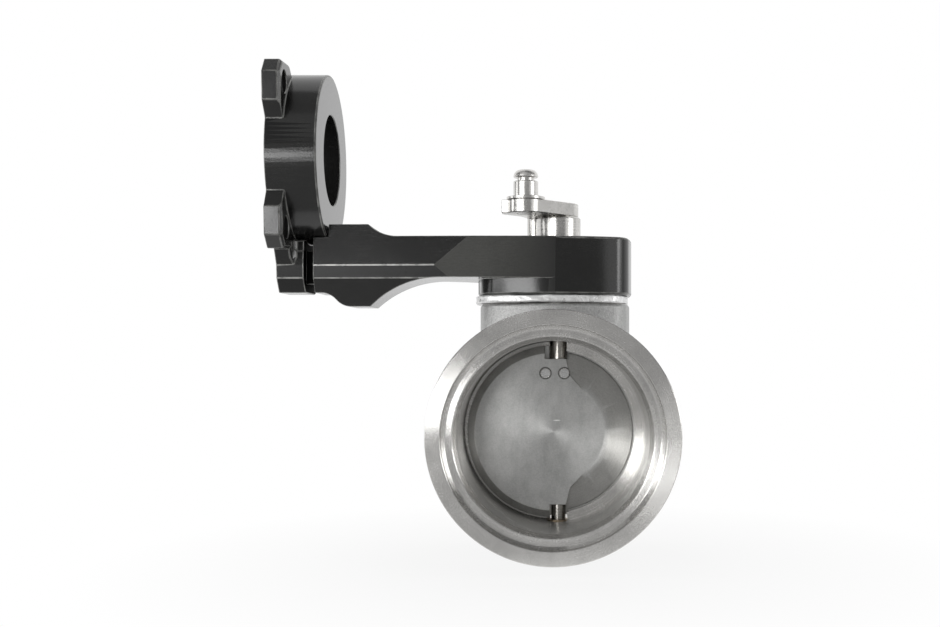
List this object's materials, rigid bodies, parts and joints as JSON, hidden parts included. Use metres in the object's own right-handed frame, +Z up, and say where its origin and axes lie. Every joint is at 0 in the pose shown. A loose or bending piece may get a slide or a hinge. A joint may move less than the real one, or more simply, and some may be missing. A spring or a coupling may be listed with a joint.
{
  "type": "turbo wastegate",
  "caption": "Butterfly wastegate: flanged steel body, lap-seat disc on a vertical spindle, black bracket with crank lever and actuator ring.",
  "frame": {"origin": "centre of the inlet flange's face, on the gas bore's axis", "axes": "+Y out of the inlet along the bore, +Z up the spindle, +X away from the actuator ring"},
  "size_m": [0.1179, 0.0794, 0.15],
  "materials": {
    "body_steel": "cast stainless steel, machined on flanges and bore",
    "disc_steel": "turned stainless steel, satin",
    "spindle_steel": "ground shaft steel, heat tinted",
    "bright_steel": "turned bright stainless steel",
    "gasket_foil": "crimped bright metal foil",
    "black_anodise": "black anodised aluminium, milled",
    "bronze": "sintered bronze",
    "graphite": "pressed graphite packing",
    "dark_steel": "black oxide steel"
  },
  "bodies": {
    "housing": {"valve_body": "body_steel", "heat_gasket": "gasket_foil", "bracket": "black_anodise", "actuator_mount": "black_anodise", "stop_post": "bright_steel", "thrust_washer": "bright_steel", "bracket_bush": "bronze", "upper_bush": "bronze", "spindle_packing": "graphite", "gland_ring": "bright_steel", "lower_bush": "bronze", "lower_plug": "dark_steel", "seal_rings": "dark_steel", "bracket_screws": "dark_steel", "bracket_washers": "bright_steel", "mount_screws": "dark_steel", "mount_dowel": "bright_steel"},
    "shaft": {"spindle": "spindle_steel", "disc": "disc_steel", "disc_pins": "bright_steel", "collar": "bright_steel", "collar_screw": "dark_steel", "lever": "bright_steel", "clevis_pin": "bright_steel"}
  },
  "joints": [
    {"name": "spindle_turn", "type": "hinge", "parent": "housing", "child": "shaft", "pos_m": [0.0016, -0.0375, 0], "axis": [0, 0, 1], "range_deg": [0, 70]}
  ]
}
